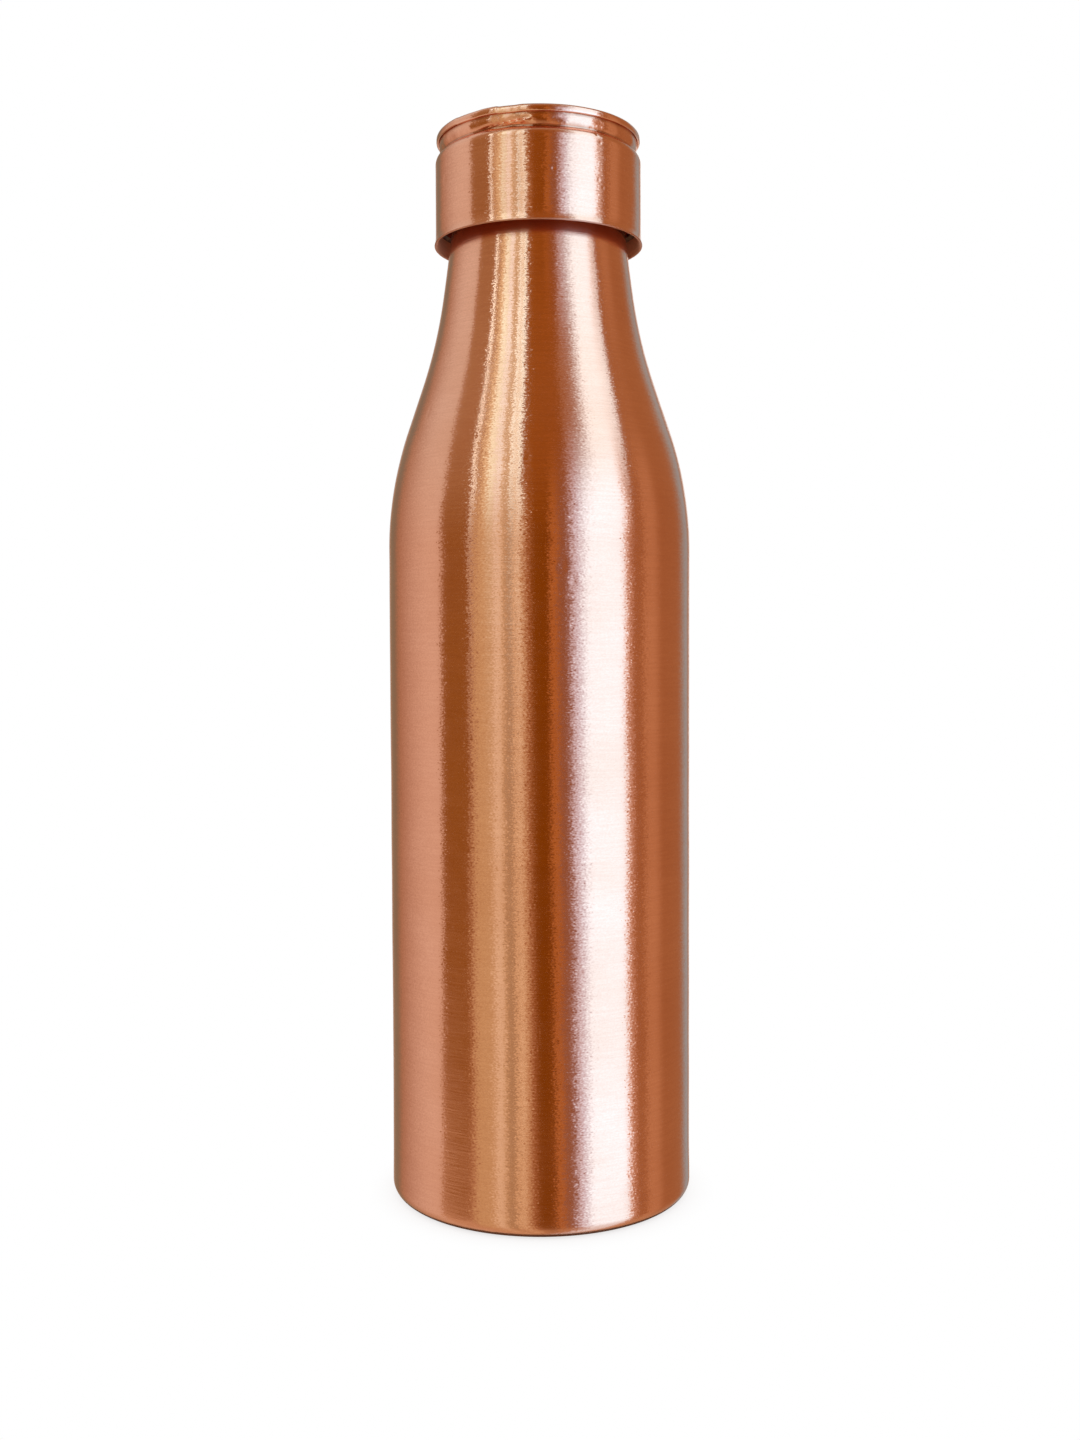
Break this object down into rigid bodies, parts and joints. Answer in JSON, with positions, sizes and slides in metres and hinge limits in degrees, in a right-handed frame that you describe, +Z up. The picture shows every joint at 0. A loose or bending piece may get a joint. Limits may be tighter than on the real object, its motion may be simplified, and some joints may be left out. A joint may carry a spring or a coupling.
{
  "type": "copper water bottle",
  "caption": "Spun copper water bottle with a straight barrel, sloping shoulder, slim neck and a wide flat-topped screw cap.",
  "frame": {"origin": "centre of the base on the standing plane", "axes": "+Z up the bottle's axis, from the base towards the cap; +X and +Y are any two level directions, with the collar's thread starting on +X"},
  "size_m": [0.076, 0.076, 0.2658],
  "materials": {
    "copper": "satin copper, finely brushed round the axis",
    "braze": "matte",
    "silicone": "matte"
  },
  "bodies": {
    "bottle": {"body_shell": "copper", "base_plate": "copper", "base_braze_ring": "braze", "neck_collar": "copper", "neck_braze_ring": "braze"},
    "seal": {"seal_washer": "silicone"},
    "cap": {"cap_thread_cup": "copper", "cap_skirt": "copper", "cap_top_disc": "copper", "cap_braze_ring": "braze"}
  },
  "joints": [
    {"name": "cap_lift", "type": "slide", "parent": "bottle", "child": "seal", "axis": [0, 0, 1], "range_m": [0, 0.02]},
    {"name": "cap_turn", "type": "hinge", "parent": "seal", "child": "cap", "pos_m": [0, 0, 0.2588], "axis": [0, 0, 1], "range_deg": [0, 1440]}
  ],
  "couplings": [
    {"joint": "cap_lift", "follows": "cap_turn", "m_per_rad": 0.00079577}
  ]
}
